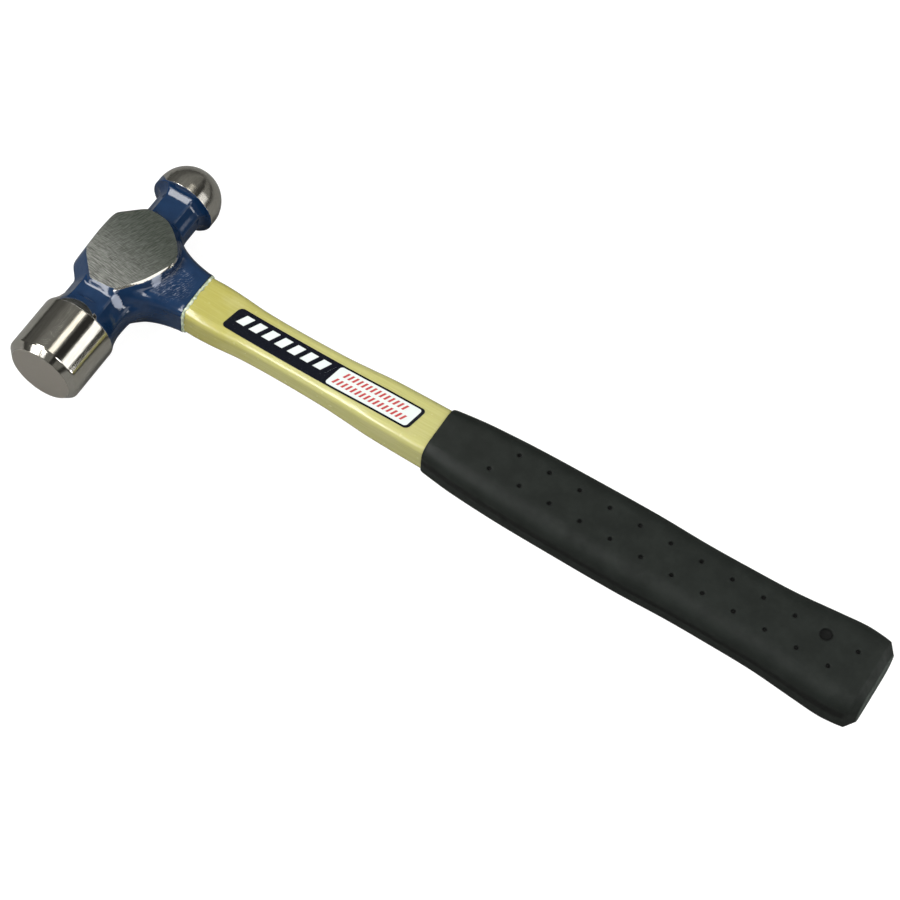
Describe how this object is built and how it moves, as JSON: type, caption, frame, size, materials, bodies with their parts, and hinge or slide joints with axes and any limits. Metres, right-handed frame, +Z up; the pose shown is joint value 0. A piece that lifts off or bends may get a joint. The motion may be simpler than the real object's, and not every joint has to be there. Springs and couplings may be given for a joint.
{
  "type": "ball peen hammer",
  "caption": "Ball peen hammer: forged steel head with a striking poll, ground cheeks and a ball, bonded to a waisted fibreglass handle with a flared rubber grip.",
  "frame": {"origin": "centre of the lower ground cheek, straight under the crossing of the head's axis and the handle's axis", "axes": "+X along the handle from the head to the butt, +Y along the head from the striking face to the ball, +Z up through the two cheeks"},
  "size_m": [0.3177, 0.1016, 0.029],
  "materials": {
    "enamelled_steel": "navy enamel on the body, necks and socket; bare polished poll and ball, bare ground cheeks",
    "epoxy_resin": "cured, semi-gloss",
    "fibreglass": "translucent yellow-green, semi-gloss",
    "moulded_rubber": "matte",
    "printed_film": "gloss print"
  },
  "bodies": {
    "root": {"head": "enamelled_steel", "epoxy_bond": "epoxy_resin", "handle": "fibreglass", "grip": "moulded_rubber", "handle_label": "printed_film"}
  },
  "joints": []
}
